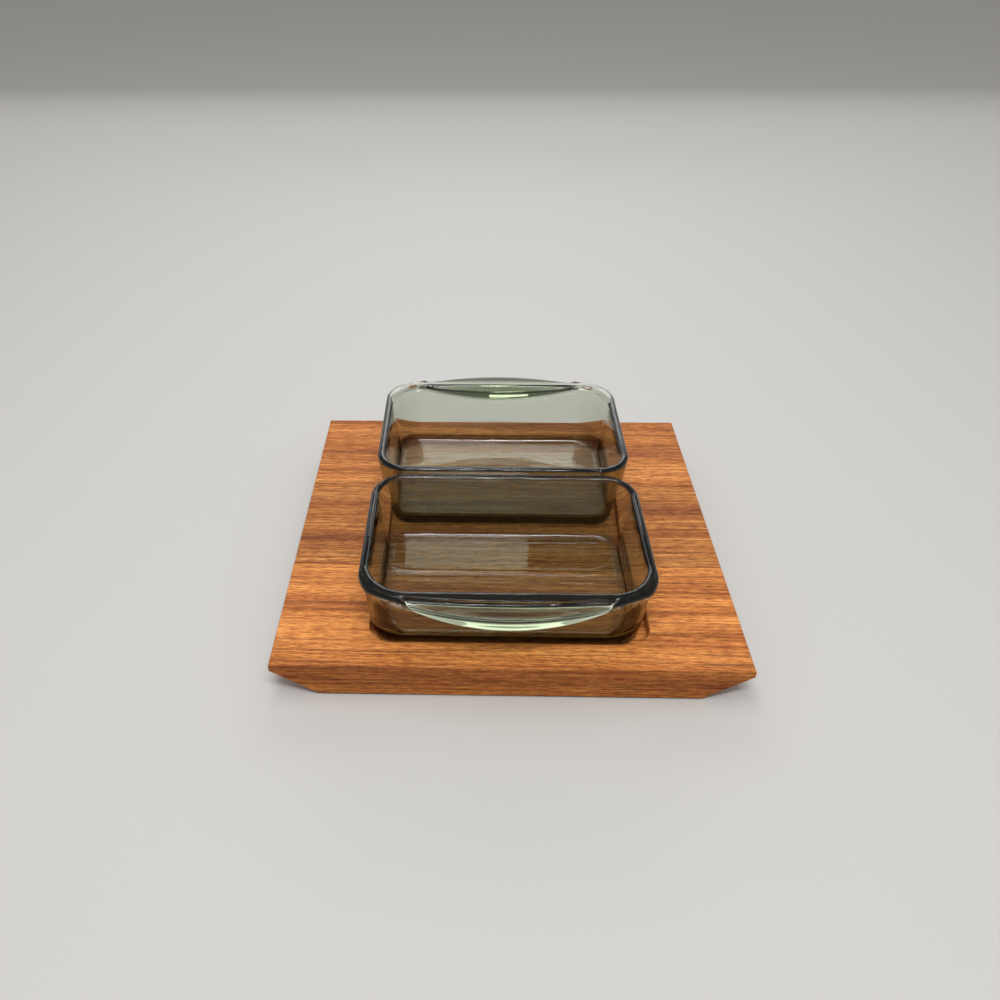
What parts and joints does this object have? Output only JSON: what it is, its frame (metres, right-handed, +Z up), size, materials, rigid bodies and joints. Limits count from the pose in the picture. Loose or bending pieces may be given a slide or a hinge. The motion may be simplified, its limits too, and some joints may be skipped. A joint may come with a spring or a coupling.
{
  "type": "lazy susan turntable",
  "caption": "Low square-cornered wooden serving turntable with undercut ends, a shared pocket and lift-out smoked glass dishes with finger tabs, turning on a thin ball swivel.",
  "frame": {"origin": "on the table at the turning axis, under the middle of the board", "axes": "+Z up along the turning axis, +X along the wood grain, -Y towards the user"},
  "size_m": [0.24, 0.2244, 0.0595],
  "materials": {
    "teak": "oiled, satin",
    "smoked_glass": "clear, polished",
    "plate_steel": "zinc plated",
    "screw_brass": "plain",
    "nylon": "moulded",
    "ball_steel": "polished",
    "foot_rubber": "moulded"
  },
  "bodies": {
    "base": {"base_plate": "plate_steel", "pivot_rivet": "plate_steel", "foot_front": "foot_rubber", "foot_right": "foot_rubber", "foot_rear": "foot_rubber", "foot_left": "foot_rubber"},
    "ball_ring": {"ball_cage": "nylon", "bearing_balls": "ball_steel"},
    "turntable": {"front_stave": "teak", "middle_stave": "teak", "rear_stave": "teak", "top_plate": "plate_steel", "plate_screws": "screw_brass", "pivot_washer": "nylon"},
    "front_dish": {"front_dish": "smoked_glass"},
    "rear_dish": {"rear_dish": "smoked_glass"}
  },
  "joints": [
    {"name": "turntable_spin", "type": "hinge", "parent": "base", "child": "turntable", "pos_m": [0, 0, 0.0045], "axis": [0, 0, 1], "continuous": true},
    {"name": "ball_ring_spin", "type": "hinge", "parent": "base", "child": "ball_ring", "pos_m": [0, 0, 0.0045], "axis": [0, 0, 1], "continuous": true},
    {"name": "front_dish_lift", "type": "slide", "parent": "turntable", "child": "front_dish", "axis": [0, 0, 1], "range_m": [0, 0.06]},
    {"name": "rear_dish_lift", "type": "slide", "parent": "turntable", "child": "rear_dish", "axis": [0, 0, 1], "range_m": [0, 0.06]}
  ],
  "couplings": [
    {"joint": "ball_ring_spin", "follows": "turntable_spin", "ratio": 0.5}
  ]
}
